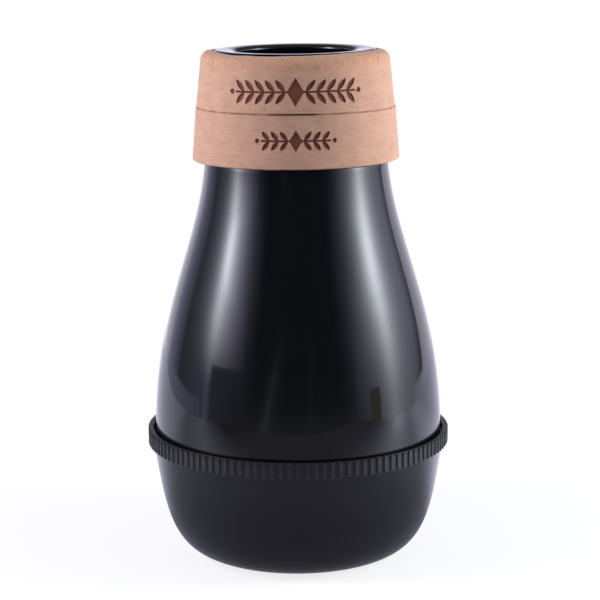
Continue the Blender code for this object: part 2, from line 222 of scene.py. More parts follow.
def curve(start, start_handle, end_handle, end):
    """A smooth stretch of an outline, as (radius, height) points."""
    knots = [Vector(point) for point in (start, start_handle, end_handle, end)]
    return [tuple(point) for point in interpolate_bezier(*knots, CURVE_STEPS + 1)]


def corner(centre, radii, start_angle, end_angle, squareness=2.0, steps=16):
    """A corner of an outline: an ellipse's, or flatter and squarer than that."""
    points = []
    for step in range(steps + 1):
        angle = math.radians(start_angle + (end_angle - start_angle) * step / steps)
        across, up = math.cos(angle), math.sin(angle)
        size = (abs(across) ** squareness + abs(up) ** squareness) ** (-1 / squareness)
        points.append((centre[0] + radii[0] * across * size, centre[1] + radii[1] * up * size))
    return points


def inset(points, wall):
    """Moves a curve that runs bottom to top towards the axis, square to itself."""
    moved = []
    for index, (radius, height) in enumerate(points):
        before = points[max(index - 1, 0)]
        after = points[min(index + 1, len(points) - 1)]
        along = Vector((after[0] - before[0], after[1] - before[1])).normalized()
        moved.append((radius - wall * along.y, height + wall * along.x))
    return moved


def radius_at(points, height):
    """Radius of a curve that runs bottom to top, at one height."""
    for low, high in zip(points, points[1:]):
        if low[1] <= height <= high[1]:
            share = (height - low[1]) / (high[1] - low[1])
            return low[0] + (high[0] - low[0]) * share
    return points[0][0] if height < points[0][1] else points[-1][0]


def between(points, low, high):
    """The points of a curve that lie between two heights, ends made exact."""
    inner = [point for point in points if low < point[1] < high]
    return [(radius_at(points, low), low)] + inner + [(radius_at(points, high), high)]


def softened(points, fillets):
    """Rounds the corners of a closed outline. fillets gives a size for some points."""
    count = len(points)
    result = []
    for index, point in enumerate(points):
        size = fillets.get(index, 0.0)
        if not size:
            result.append(point)
            continue
        here = Vector(point)
        to_last = Vector(points[index - 1]) - here
        to_next = Vector(points[(index + 1) % count]) - here
        reach = min(size, 0.45 * to_last.length, 0.45 * to_next.length)
        first = here + to_last.normalized() * reach
        last = here + to_next.normalized() * reach
        for step in range(FILLET_STEPS + 1):
            share = step / FILLET_STEPS
            spot = first * (1 - share) ** 2 + here * 2 * share * (1 - share) + last * share ** 2
            result.append(tuple(spot))
    return result


def plain_section(inner, outer, low, high):
    """A four-cornered outline with softened corners."""
    points = [(inner, low), (outer, low), (outer, high), (inner, high)]
    return softened(points, dict.fromkeys(range(4), 0.0003))


def neck_radius(z):
    """Outside of the neck where the collars cover it."""
    return NECK_ROOT_RADIUS - SHOULDER_STEP - NECK_TAPER * (z - NECK_Z)


def bulb_curve():
    """Outside of the bulb, from its rim land up to the neck."""
    return curve(
        (BULB_RADIUS, BULB_Z),
        (BULB_RADIUS - BULB_LEAN * BULB_DRAW, BULB_Z + BULB_DRAW),
        (NECK_ROOT_RADIUS + NECK_LEAN * NECK_DRAW, NECK_Z - NECK_DRAW),
        (NECK_ROOT_RADIUS, NECK_Z),
    )


def cap_curve():
    """Outside of the end cap, from its foot up to the shelf."""
    return curve(
        (FOOT_RADIUS, 0.0),
        (FOOT_RADIUS + FOOT_SWEEP, 0.0),
        (CAP_RADIUS - CAP_LEAN * CAP_DRAW, SHELF_Z - CAP_DRAW),
        (CAP_RADIUS, SHELF_Z),
    )


# Meshes

def add_point(bm, radius, turns, height):
    """A vertex at some part of a turn round the axis."""
    angle = math.tau * turns
    return bm.verts.new((radius * math.cos(angle), radius * math.sin(angle), height))


def add_ring(bm, radius, height, count):
    """A level circle of vertices."""
    return [add_point(bm, radius, side / count, height) for side in range(count)]


def join_rings(bm, first, second):
    """A band of quads between two circles of vertices."""
    count = len(first)
    for side in range(count):
        following = (side + 1) % count
        bm.faces.new((first[side], first[following], second[following], second[side]))


def add_turned(bm, outline, count, open_after=None):
    """Turns a closed outline round the axis, and returns its circles."""
    rings = [add_ring(bm, radius, height, count) for radius, height in outline]
    for index, ring in enumerate(rings):
        if index != open_after:
            join_rings(bm, ring, rings[(index + 1) % len(rings)])
    return rings


def add_fan(bm, apex, chain):
    """Triangles from one vertex to each step of a chain."""
    for first, second in zip(chain, chain[1:]):
        bm.faces.new((apex, first, second))


def add_thread(bm, low_ring, high_ring, root, crest, start):
    """Joins two circles by a wall with one right-hand helical ridge, soft at its crest."""
    count = len(low_ring)
    last = count * THREAD_TURNS
    edge = 0.15 * THREAD_FLANK
    ease = 0.12 * (crest - root)
    corners = (
        (0.0, root),
        (THREAD_FLANK - edge, crest - ease),
        (THREAD_FLANK + edge, crest),
        (THREAD_FLANK + THREAD_CREST - edge, crest),
        (THREAD_FLANK + THREAD_CREST + edge, crest - ease),
        (2 * THREAD_FLANK + THREAD_CREST, root),
    )
    strings = []
    for offset, full_radius in corners:
        string = []
        for step in range(last + 1):
            travel = step / count
            fade = min(1.0, travel / THREAD_FADE, (THREAD_TURNS - travel) / THREAD_FADE)
            radius = root + (full_radius - root) * fade
            string.append(add_point(bm, radius, travel, start + offset + THREAD_PITCH * travel))
        strings.append(string)

    for lower, upper in zip(strings, strings[1:]):
        for step in range(last):
            bm.faces.new((lower[step], lower[step + 1], upper[step + 1], upper[step]))

    bottom, top = strings[0], strings[-1]
    for step in range(last - count):
        above = step + count
        bm.faces.new((top[step], top[step + 1], bottom[above + 1], bottom[above]))

    # The plain wall below the first turn closes against the string's own start.
    for side in range(count - 1):
        bm.faces.new((low_ring[side], low_ring[side + 1], bottom[side + 1], bottom[side]))
    starts = [low_ring[0]] + [string[0] for string in strings] + [bottom[count]]
    add_fan(bm, low_ring[-1], starts + [bottom[count - 1]])

    # The plain wall above the last turn closes against its end in the same way.
    base = last - count
    for side in range(1, count):
        following = (side + 1) % count
        upper_edge = (high_ring[following], high_ring[side])
        bm.faces.new((top[base + side], top[base + side + 1]) + upper_edge)
    ends = [top[base]] + [string[last] for string in strings] + [high_ring[0]]
    add_fan(bm, high_ring[1], list(reversed(ends)))
    bm.faces.new((top[base], top[base + 1], high_ring[1]))


def new_object(name, data):
    """A new object of the scene."""
    made = bpy.data.objects.new(name, data)
    bpy.context.scene.collection.objects.link(made)
    return made


def place_piece(mesh, material, body, node, sharp=35):
    """Makes a shown piece from a finished mesh, and ties it to the frame."""
    mesh.shade_smooth()
    mesh.set_sharp_from_angle(angle=math.radians(sharp))
    mesh.materials.append(material)
    piece = new_object(mesh.name, mesh)
    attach(piece, body)
    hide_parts(node)
    return piece


def mesh_from(bm, name, mesh=None):
    """Turns a bmesh into a mesh with all faces pointing out."""
    bmesh.ops.recalc_face_normals(bm, faces=bm.faces)
    mesh = mesh or bpy.data.meshes.new(name)
    bm.to_mesh(mesh)
    bm.free()
    return mesh


def turned_mesh(name, outline, count=SIDES):
    """A mesh that is only its outline turned round the axis."""
    bm = bmesh.new()
    add_turned(bm, outline, count)
    return mesh_from(bm, name)


def grid_mesh(name, spots):
    """A mesh that closes on itself both ways, from an array of rows of points."""
    rows, columns = spots.shape[:2]
    index = np.arange(rows * columns).reshape(rows, columns)
    right = np.roll(index, -1, axis=1)
    up = np.roll(index, -1, axis=0)
    corner_index = np.roll(right, -1, axis=0)
    faces = np.stack([index, right, corner_index, up], axis=-1).reshape(-1, 4)
    mesh = bpy.data.meshes.new(name)
    mesh.from_pydata(spots.reshape(-1, 3).tolist(), [], faces.tolist())
    bm = bmesh.new()
    bm.from_mesh(mesh)
    return mesh_from(bm, name, mesh)


def spun(radius, height, angle):
    """Points at these radii, heights and angles round the axis."""
    radius, height, angle = np.broadcast_arrays(radius, height, angle)
    return np.stack([radius * np.cos(angle), radius * np.sin(angle), height], axis=-1)


def smooth_step(low, high, value):
    """0 below low, 1 above high, and an even slope between them, on an array."""
    share = np.clip((value - low) / (high - low), 0.0, 1.0)
    return share * share * (3 - 2 * share)


def noise_at(spots, size, seed):
    """Smooth noise, about -1 to 1, with bumps of one size, at each of the points."""
    shift = Vector((seed * 7.3, seed * 3.1, seed * 5.7))
    flat = spots.reshape(-1, 3) / size
    values = [noise.noise(Vector(spot) + shift) for spot in flat]
    return np.array(values).reshape(spots.shape[:-1]) * 1.6


# Node trees

class Wire:
    """A value in a node tree. Wires that carry numbers take +, -, * and /."""

    def __init__(self, socket):
        self.socket = socket
        self.tree = socket.id_data

    def __add__(self, other):
        return maths("ADD", self, other)

    def __sub__(self, other):
        return maths("SUBTRACT", self, other)

    def __rsub__(self, other):
        return maths("SUBTRACT", other, self)

    def __mul__(self, other):
        return maths("MULTIPLY", self, other)

    def __truediv__(self, other):
        return maths("DIVIDE", self, other)

    __radd__ = __add__
    __rmul__ = __mul__


def add_node(tree, kind, values=None, **settings):
    """A node with some of its settings and inputs set. Inputs take wires or plain values."""
    made = tree.nodes.new("ShaderNode" + kind)
    for key, value in settings.items():
        setattr(made, key, value)
    for key, value in (values or {}).items():
        if isinstance(value, Wire):
            tree.links.new(value.socket, made.inputs[key])
        else:
            made.inputs[key].default_value = value
    return made


def wire(tree, kind, values=None, output=0, **settings):
    """One output of a new node."""
    return Wire(add_node(tree, kind, values, **settings).outputs[output])


def connect(value, shader, name):
    """Links a wire to one of a shader's inputs."""
    value.tree.links.new(value.socket, shader.inputs[name])


def maths(operation, *terms, clamp=False):
    """One sum, from wires and numbers."""
    tree = next(term.tree for term in terms if isinstance(term, Wire))
    return wire(tree, "Math", dict(enumerate(terms)), operation=operation, use_clamp=clamp)


def ramp_up(value, low, high):
    """0 below low, 1 above high, and a soft slope between them."""
    return wire(value.tree, "MapRange", {"Value": value, "From Min": low, "From Max": high},
                interpolation_type="SMOOTHSTEP")


def ramp_down(value, low, high):
    """1 below low and 0 above high."""
    return 1.0 - ramp_up(value, low, high)


def bell(value, centre, width):
    """A bell-shaped falloff: 1 at its centre."""
    return maths("DIVIDE", 1.0, maths("COSH", (value - centre) / width))


def parts_of(spot):
    """The three coordinates of a place."""
    return [Wire(socket) for socket in add_node(spot.tree, "SeparateXYZ", {0: spot}).outputs]


def distance_of(spot):
    """A place's distance from the origin."""
    return wire(spot.tree, "VectorMath", {0: spot}, "Value", operation="LENGTH")


def toned(colour, factor):
    """A plain colour made darker or lighter."""
    return tuple(factor * channel for channel in colour)


def scaled(colour, amount):
    """A plain colour times a wire."""
    return wire(amount.tree, "VectorMath", {0: colour, "Scale": amount}, operation="SCALE")


def summed(*colours):
    """The sum of several colours, of which the first is a wire."""
    result = colours[0]
    for colour in colours[1:]:
        result = wire(result.tree, "VectorMath", {0: result, 1: colour}, operation="ADD")
    return result


def mixed(share, first, second):
    """A blend of two colours."""
    ends = [end if isinstance(end, Wire) else (*end, 1.0) for end in (first, second)]
    return wire(share.tree, "Mix", {"Factor": share, 6: ends[0], 7: ends[1]}, 2, data_type="RGBA")


def ramp_colours(value, stops):
    """A colour that follows straight lines between its stops, each (place, colour)."""
    made = add_node(value.tree, "ValToRGB", {"Fac": value})
    elements = made.color_ramp.elements
    while len(elements) < len(stops):
        elements.new(0.5)
    for element, (place, colour) in zip(elements, stops):
        element.position = place
        element.color = (*colour, 1.0)
    return Wire(made.outputs["Color"])


def stepped(value, stops):
    """A level that follows straight lines between its stops, each (place, level)."""
    low, high = stops[0][0], stops[-1][0]
    levels = [((place - low) / (high - low), (level,) * 3) for place, level in stops]
    return ramp_colours((value - low) / (high - low), levels)


def noise_value(spot, size, detail=3.0, stretch=(1, 1, 1)):
    """Noise with bumps of one size in metres, centred on 0.5."""
    mapped = wire(spot.tree, "Mapping", {"Vector": spot, "Scale": stretch})
    values = {"Vector": mapped, "Scale": 1.0 / size, "Detail": detail}
    return wire(spot.tree, "TexNoise", values, "Fac")


def new_material(name, colour, roughness, **constants):
    """A material with its shader and the piece's own coordinates."""
    material = bpy.data.materials.new(name)
    material.use_nodes = True
    shader = material.node_tree.nodes["Principled BSDF"]
    shader.inputs["Base Color"].default_value = (*colour, 1.0)
    shader.inputs["Roughness"].default_value = roughness
    for key, value in constants.items():
        shader.inputs[key.replace("_", " ").title()].default_value = value
    return material, shader, wire(material.node_tree, "TexCoord", output="Object")


def add_bump(shader, *bumps):
    """Bumps one on another, each (height, depth in metres)."""
    normal = None
    for height, depth in bumps:
        values = {"Height": height, "Distance": depth, "Strength": 1.0}
        if normal:
            values["Normal"] = normal
        normal = wire(height.tree, "Bump", values, "Normal")
    connect(normal, shader, "Normal")


# Finishes

FOAM_PINK = (0.634, 0.364, 0.236)
FOAM_TAN = (0.616, 0.380, 0.241)
FOAM_EDGE = (0.624, 0.342, 0.196)
# Seam colour: partly real dirt, partly painted shade of the gap between the collars.
SEAM_DIRT_AND_SHADE = (0.190, 0.048, 0.020)
PORE_BROWN = (0.34, 0.145, 0.060)
# Burn colour: the real burn, darkest at its edge where shade of the burnt recess wall is painted, lighter
# in its middle.
BURN_AND_EDGE_SHADE_STOPS = ((0.35, (0.110, 0.028, 0.015)), (1.0, (0.225, 0.075, 0.048)))
BURN_CLOUD = (0.12, 0.035, 0.02)
GRIP_BLACK = (0.016, 0.016, 0.018)
SEAL_BLACK = (0.030, 0.029, 0.028)


def gloss_material(name):
    """Polished black plastic: faint orange peel, and wiped patches that are a bit duller."""
    material, shader, spot = new_material(name, (0.0032, 0.0033, 0.0040), 0.06)
    wiped = noise_value(spot, 0.020, 4.0)
    grit = ramp_up(noise_value(spot, 0.0011, 2.0), 0.62, 0.80)
    connect(0.045 + 0.030 * ramp_up(wiped, 0.45, 0.75) + 0.040 * grit, shader, "Roughness")
    tint = mixed(wiped, (0.0028, 0.0029, 0.0036), (0.0040, 0.0041, 0.0048))
    connect(tint, shader, "Base Color")
    peel = noise_value(spot, 0.0060, 1.0)
    add_bump(shader, (peel, 0.000006), (grit, 0.0000015))
    return material


def satin_material():
    """Satin black plastic with the fine, even grain of a spark-finished mould."""
    material, shader, spot = new_material("satin_black", (0.0060, 0.0062, 0.0078), 0.2)
    cloud = noise_value(spot, 0.030, 4.0)
    grain = noise_value(spot, 0.00035, 2.0)
    connect(0.15 + 0.06 * cloud, shader, "Roughness")
    tint = mixed(cloud, (0.0064, 0.0066, 0.0084), (0.0084, 0.0086, 0.0106))
    connect(tint, shader, "Base Color")
    add_bump(shader, (grain, 0.000012))
    return material


def rubber_material(name, colour, roughness, top_z):
    """Matt black rubber, a little dusty and paler where handled, with painted shade darkening its top
    edge.
    """
    material, shader, spot = new_material(name, colour, roughness)
    dust = ramp_up(noise_value(spot, 0.0045, 5.0), 0.48, 0.78)
    grain = noise_value(spot, 0.00040, 3.0)
    pale = tuple(0.010 + 1.5 * channel for channel in colour)
    # Painted shade along the top edge beside the gap; the edge is also made rougher there.
    painted_top_shade = ramp_up(parts_of(spot)[2], top_z - 0.0022, top_z - 0.0002)
    tint = mixed(painted_top_shade, mixed(0.7 * dust, colour, pale), toned(colour, 0.30))
    connect(tint, shader, "Base Color")
    connect(roughness - 0.05 + 0.15 * dust + 0.25 * painted_top_shade, shader, "Roughness")
    add_bump(shader, (grain, 0.000030))
    return material


def collar_material(name, edge_z, seam_z):
    """Fine pinkish-brown foam, more orange above edge_z, and at the seam dirty and darkened with painted
    shade of the gap.

    The mesh says where it is burnt and where it has pores.
    """
    material, shader, spot = new_material(name, FOAM_PINK, 0.88, sheen_weight=0.12, sheen_roughness=0.45)
    shader.inputs["Specular IOR Level"].default_value = 0.15
    x, y, height = parts_of(spot)
    hue = noise_value(spot, 0.011, 2.0)
    cloud = noise_value(spot, 0.0060, 3.0, (1.0, 1.0, 1.6))
    streak = noise_value(spot, 0.0040, 4.0, (1.0, 1.0, 9.0))
    grain = noise_value(spot, 0.00045, 3.0)
    skin = mixed(ramp_up(hue, 0.35, 0.65), FOAM_PINK, FOAM_TAN)
    tone = ramp_up(0.30 * cloud + 0.40 * streak + 0.30 * grain, 0.34, 0.66)
    skin = mixed(tone, toned(FOAM_PINK, 0.80), skin)

    edge = ramp_up(height, edge_z - 0.0006, edge_z + 0.0006)
    dashes = ramp_up(noise_value(spot, 0.0011, 2.0, (1.0, 1.0, 0.30)), 0.45, 0.75)
    skin = mixed(0.75 * edge, skin, mixed(dashes, FOAM_EDGE, toned(FOAM_EDGE, 0.72)))

    # Painted shade of the seam's gap with some real dirt: darker near the seam, patchy, and fully dark at
    # the front where the seam gapes open.
    seam_dirt_and_shade = ramp_down(maths("ABSOLUTE", height - seam_z), 0.00006, 0.00034)
    patchy = 0.14 + 0.36 * ramp_up(noise_value(spot, 0.0034, 3.0), 0.40, 0.62)
    painted_gap_shade = ramp_down(maths("ABSOLUTE", x + 0.0010), 0.0060, 0.0115) * ramp_down(y, -0.030, -0.020)
    skin = mixed(seam_dirt_and_shade * maths("MAXIMUM", patchy, painted_gap_shade), skin, SEAM_DIRT_AND_SHADE)

    pore = wire(spot.tree, "Attribute", output="Fac", attribute_name="pore")
    skin = mixed(0.65 * pore, skin, PORE_BROWN)

    burn = wire(spot.tree, "Attribute", output="Fac", attribute_name="burn")
    # The burn's dark rim is painted shade of its recess wall.
    mottled = mixed(0.5 * cloud, ramp_colours(burn, BURN_AND_EDGE_SHADE_STOPS), BURN_CLOUD)
    skin = mixed(ramp_up(burn, 0.02, 0.35), skin, mottled)
    connect(skin, shader, "Base Color")
    add_bump(shader, (grain, 0.00008))
    return material


def open_foam_material():
    """Coarse dark grey foam with open cells."""
    material, shader, spot = new_material("damping_foam", (0.05, 0.05, 0.055), 0.95)
    cells = wire(spot.tree, "TexVoronoi", {"Vector": spot, "Scale": 750.0}, "Distance")
    wall = ramp_up(cells, 0.15, 0.6)
    connect(mixed(wall, (0.010, 0.010, 0.011), (0.085, 0.084, 0.088)), shader, "Base Color")
    add_bump(shader, (wall, 0.0006))
    return material


def tube_material():
    """Drawn black plastic, with faint lines along its length."""
    material, shader, spot = new_material("vent_plastic", (0.018, 0.018, 0.020), 0.35)
    lines = noise_value(spot, 0.0006, 2.0, (1.0, 1.0, 0.03))
    connect(0.25 + 0.2 * lines, shader, "Roughness")
    add_bump(shader, (lines, 0.00003))
    return material


# Pieces

def make_bulb(material):
    """The glossy bulb and its neck, open at both ends, threaded inside the rim."""
    outside = bulb_curve()
    lowest_start = RIM_Z + THREAD_LEAD_IN
    middle = SPIGOT_THREAD_Z + THREAD_PITCH / 2
    start = middle + THREAD_PITCH * math.ceil((lowest_start - middle) / THREAD_PITCH)
    thread_top = start + THREAD_RISE + THREAD_LEAD_IN
    inside = [point for point in inset(outside, BULB_WALL)
              if thread_top + BULB_WALL < point[1] < NECK_Z - BULB_WALL]
    outline = [(SOCKET_RADIUS, RIM_Z), (SOCKET_RADIUS + FIT_GAP, RIM_Z), (BULB_RADIUS, RIM_Z)]
    outline += outside
    neck_start = len(outline)
    outline += [
        (neck_radius(NECK_Z), NECK_Z),
        (neck_radius(NECK_TOP_Z), NECK_TOP_Z),
        (neck_radius(NECK_TOP_Z) - NECK_WALL, NECK_TOP_Z),
        (neck_radius(NECK_Z) - NECK_WALL, NECK_Z),
    ]
    outline += reversed(inside)
    outline.append((SOCKET_RADIUS, thread_top))
    fillets = {2: 0.0004, neck_start - 1: 0.0004, neck_start + 1: 0.0004, neck_start + 2: 0.0004}
    outline = softened(outline, fillets)
    bm = bmesh.new()
    rings = add_turned(bm, outline, SIDES, open_after=len(outline) - 1)
    add_thread(bm, rings[0], rings[-1], SOCKET_RADIUS, SOCKET_CREST, start)
    place_piece(mesh_from(bm, "bulb_and_neck"), material, "upper", "body_shell")


def make_bowl(material):
    """The satin bowl with its foot, grooved rim, threaded spigot and vent socket."""
    outside = cap_curve()
    spigot_inside = SPIGOT_RADIUS - SPIGOT_WALL
    thread_top = SPIGOT_THREAD_Z + THREAD_RISE + THREAD_LEAD_IN
    spigot_top = thread_top + SPIGOT_TOP
    web_top = SHOULDER_Z - SPIGOT_WALL
    parts = [
        (VENT_BORE_RADIUS, FOOT_RECESS, 0.0003),
        (FOOT_RADIUS - FOOT_WIDTH - FOOT_RECESS, FOOT_RECESS, 0.0004),
        (FOOT_RADIUS - FOOT_WIDTH, 0.0, 0.0004),
    ]
    parts += [(*point, 0.0) for point in outside[:-1]]
    parts += [
        (CAP_RADIUS, SHELF_Z, 0.0002),
        (GROOVE_RADIUS, SHELF_Z, 0.0),
        (GROOVE_RADIUS, SHELF_Z + GROOVE_HEIGHT, 0.0),
        (CAP_RIM_RADIUS, SHELF_Z + GROOVE_HEIGHT, 0.0002),
        (CAP_RIM_RADIUS, SHOULDER_Z, 0.0003),
        (SPIGOT_RADIUS, SHOULDER_Z, 0.0),
        (SPIGOT_RADIUS, thread_top, 0.0),
        (SPIGOT_RADIUS - SPIGOT_CHAMFER, spigot_top, 0.0002),
        (spigot_inside + SPIGOT_CHAMFER, spigot_top, 0.0002),
        (spigot_inside, thread_top, 0.0),
        (spigot_inside, web_top, 0.0010),
    ]
    inside = between(inset(outside, CAP_WALL), FLOOR_Z, web_top - WEB_HEIGHT)
    parts += [(*point, 0.0) for point in reversed(inside)]
    parts += [
        (BOSS_RADIUS, FLOOR_Z, 0.0006),
        (BOSS_RADIUS, TUBE_SEAT_Z + VENT_SOCKET_DEPTH, 0.0004),
        (SOCKET_BORE_RADIUS, TUBE_SEAT_Z + VENT_SOCKET_DEPTH, 0.0003),
        (SOCKET_BORE_RADIUS, TUBE_SEAT_Z, 0.0),
        (VENT_BORE_RADIUS, TUBE_SEAT_Z, 0.0),
    ]
    outline = softened([part[:2] for part in parts], {index: part[2] for index, part in enumerate(parts)})
    thread_band = outline.index((SPIGOT_RADIUS, SHOULDER_Z))
    bm = bmesh.new()
    rings = add_turned(bm, outline, SIDES, open_after=thread_band)
    low_ring, high_ring = rings[thread_band], rings[thread_band + 1]
    add_thread(bm, low_ring, high_ring, SPIGOT_RADIUS, SPIGOT_CREST, SPIGOT_THREAD_Z)
    place_piece(mesh_from(bm, "bowl"), material, "base", "end_cap")


def make_knurled_ring(material):
    """The rubber ring: rounded teeth all round, and a stepped bore over the cap's bead."""
    low, top = ring_low.z, RING_TOP_Z
    rib_top = SHELF_Z + GROOVE_HEIGHT - FIT_GAP
    bead_top = SHOULDER_Z + FIT_GAP
    points = [
        (GROOVE_RADIUS + FIT_GAP, low),
        (RING_RADIUS, low),
        (RING_RADIUS, top),
        (BULB_RADIUS + SHROUD_GAP, top),
        (BULB_RADIUS + SHROUD_GAP, bead_top),
        (CAP_RIM_RADIUS + FIT_GAP, bead_top),
        (CAP_RIM_RADIUS + FIT_GAP, rib_top),
        (GROOVE_RADIUS + FIT_GAP, rib_top),
    ]
    outline = softened(points, {1: 0.0003, 2: 0.00022, 3: 0.0009})
    columns = TOOTH_COUNT * TOOTH_STEPS
    angle = math.tau * np.arange(columns) / columns
    phase = np.abs((np.arange(columns) / TOOTH_STEPS + 0.5) % 1.0 - 0.5)
    sunk = smooth_step(TOOTH_LAND / 2, TOOTH_LAND / 2 + TOOTH_FLANK, phase)
    radius, height = np.array(outline).T[:, :, None]
    # A groove takes the radius down to its own floor and no further.
    reach = np.minimum(radius, RING_RADIUS - TOOTH_DEPTH * sunk)
    sag = smooth_step(bead_top, top, height) * (RING_SAG[0] + RING_SAG[1] * np.cos(angle))
    mesh = grid_mesh("knurled_ring", spun(reach, height - sag, angle))
    place_piece(mesh, material, "base", "grip_ring", sharp=40)


def make_lip(material):
    """The rolled lip round the mouth, on a sleeve that stands in the neck."""
    side = neck_radius(NECK_TOP_Z) - LIP_SETBACK
    crest = side - LIP_CREST_INSET
    top = LIP_Z + LIP_HEIGHT
    edge = LIP_Z + LIP_EDGE
    inner_edge = top - LIP_DROP
    sleeve = neck_radius(NECK_TOP_Z) - NECK_WALL - FIT_GAP
    throat = sleeve - THROAT_WALL
    outline = [(side, LIP_Z)]
    outline += corner((crest, edge), (LIP_CREST_INSET, top - edge), 0, 90, LIP_SQUARENESS)
    inner_reach = (crest - MOUTH_RADIUS, LIP_TURN)
    outline += corner((crest, top - LIP_TURN), inner_reach, 90, 180, LIP_SQUARENESS)[1:]
    outline.append((MOUTH_RADIUS, inner_edge))
    tuck = len(outline)
    outline += [
        (throat, inner_edge - LIP_TUCK),
        (throat, lip_low.z),
        (sleeve, lip_low.z),
        (sleeve, LIP_Z),
    ]
    fillets = {0: 0.0002, tuck - 1: 0.0008, tuck: 0.0012, tuck + 1: 0.0003, tuck + 2: 0.0003}
    mesh = turned_mesh("glossy_lip", softened(outline, fillets))
    for vertex in mesh.vertices:
        vertex.co.z += LIP_CUT[0] + LIP_CUT[1] * vertex.co.x + LIP_CUT[2] * vertex.co.y
    place_piece(mesh, material, "upper", "mouth_ring")


def make_seal(material):
    """The flat washer between the bowl's shoulder and the bulb's rim."""
    outline = plain_section(seal_high.x - SEAL_WIDTH, seal_high.x, seal_low.z, seal_high.z)
    place_piece(turned_mesh("seal_washer", outline), material, "seal", "rim_seal")


def make_disc(material):
    """The open-cell foam on the bowl's floor, torn a little rough on top."""
    hole = BOSS_RADIUS + FIT_GAP
    side = between(inset(cap_curve(), CAP_WALL + FIT_GAP), disc_low.z, disc_high.z)
    outline = [(hole, disc_low.z)] + side[::2]
    if outline[-1] != side[-1]:
        outline.append(side[-1])
    rim = outline[-1][0]
    outline += [(rim + (hole - rim) * step / DISC_STEPS, disc_high.z) for step in range(1, DISC_STEPS + 1)]
    radius, height = np.array(outline).T[:, :, None]
    spots = spun(radius, height, math.tau * np.arange(DISC_SIDES) / DISC_SIDES)
    on_top = smooth_step(disc_high.z - 0.0002, disc_high.z, spots[..., 2])
    rough = 0.5 + 0.5 * noise_at(spots, TORN_SIZE, 4)
    spots[..., 2] -= on_top * TORN_DEPTH * np.clip(rough, 0, 1)
    piece = place_piece(grid_mesh("foam_disc", spots), material, "base",
                        "damping_disc", sharp=60)


def make_tube(material):
    """The tube that lets the air out through the foot."""
    outline = plain_section(VENT_BORE_RADIUS, TUBE_RADIUS, tube_low.z, tube_high.z)
    mesh = turned_mesh("vent_pipe", outline, TUBE_SIDES)
    place_piece(mesh, material, "base", "vent_tube")


# The foam collars

def cut_rise(rises, angle):
    """Rise of an uneven edge at each angle, running smoothly from one given rise to the next."""
    place = (angle % math.tau) * len(rises) / math.tau
    step = np.floor(place).astype(int) % len(rises)
    blend = smooth_step(0.0, 1.0, place - np.floor(place))
    known = np.array(rises)
    return known[step] * (1 - blend) + known[(step + 1) % len(rises)] * blend


def leaf_inside(across, up, root, length, half_width, slant):
    """How far inside a pointed leaf each spot lies, in metres. Negative is outside."""
    run = (across - root) * math.cos(slant) + up * math.sin(slant)
    rise = -(across - root) * math.sin(slant) + up * math.cos(slant)
    middle = 2 * run / length - 1
    return half_width * (1 - middle * middle) - np.abs(rise)


def border_inside(across, up, leaf_pairs, leaf, pitch, lozenge, dot):
    """A symmetrical leaf border: how far inside its nearest motif each spot lies."""
    side = np.abs(across)
    slope = lozenge[0] * lozenge[1] / math.hypot(*lozenge)
    inside = slope * (1 - side / lozenge[0] - np.abs(up) / lozenge[1])
    length, half_width, slant = leaf
    first = lozenge[0] + 0.0003
    for pair in range(leaf_pairs):
        root = first + pair * pitch
        for lean in (slant, -slant):
            inside = np.maximum(inside, leaf_inside(side, up, root, length, half_width, lean))
    stem_end = first + leaf_pairs * pitch
    stem = np.minimum(STEM_HALF_WIDTH - np.abs(up), stem_end - side)
    inside = np.maximum(inside, stem)
    return np.maximum(inside, dot - np.hypot(side - stem_end - dot * 1.6, up))


def collar_angles(radius):
    """Angles of a collar's mesh columns: close together at the front, wider elsewhere."""
    fine = np.arange(-FINE_HALF_ARC, FINE_HALF_ARC, FINE_STEP / radius)
    rest = math.tau - 2 * FINE_HALF_ARC
    coarse_count = int(rest * radius / COARSE_STEP)
    coarse = FINE_HALF_ARC + rest * np.arange(coarse_count) / coarse_count
    return FRONT + np.concatenate([fine, coarse])


def collar_outline(low, high, low_wall, high_wall, low_round, high_round):
    """A collar's section: (radius, height, share of the surface detail) all round it."""
    low_inside = neck_radius(low) + FIT_GAP
    high_inside = neck_radius(high) + FIT_GAP
    low_outside = low_inside + low_wall
    high_outside = high_inside + high_wall
    parts = [(low_inside, low, 0.0), (low_inside + 0.5 * low_wall, low, 0.3)]
    centre = (low_outside - low_round, low + low_round)
    parts += [(*point, 1.0) for point in corner(centre, (low_round, low_round), -90, 0, steps=5)]
    side_low, side_high = low + low_round, high - high_round
    steps = round((side_high - side_low) / FINE_STEP)
    for step in range(1, steps):
        share = step / steps
        radius = low_outside + (high_outside - low_outside) * share
        parts.append((radius, side_low + (side_high - side_low) * share, 1.0))
    turn_steps = max(5, round(1.57 * high_round / FINE_STEP))
    centre = (high_outside - high_round, high - high_round)
    parts += [(*point, 1.0) for point in corner(centre, (high_round, high_round), 0, 90, steps=turn_steps)]
    flat = high_outside - high_round - high_inside
    flat_steps = max(2, round(flat / COARSE_STEP))
    for step in range(1, flat_steps):
        parts.append((high_outside - high_round - flat * step / flat_steps, high, 0.6))
    parts.append((high_inside, high, 0.0))
    return np.array(parts)


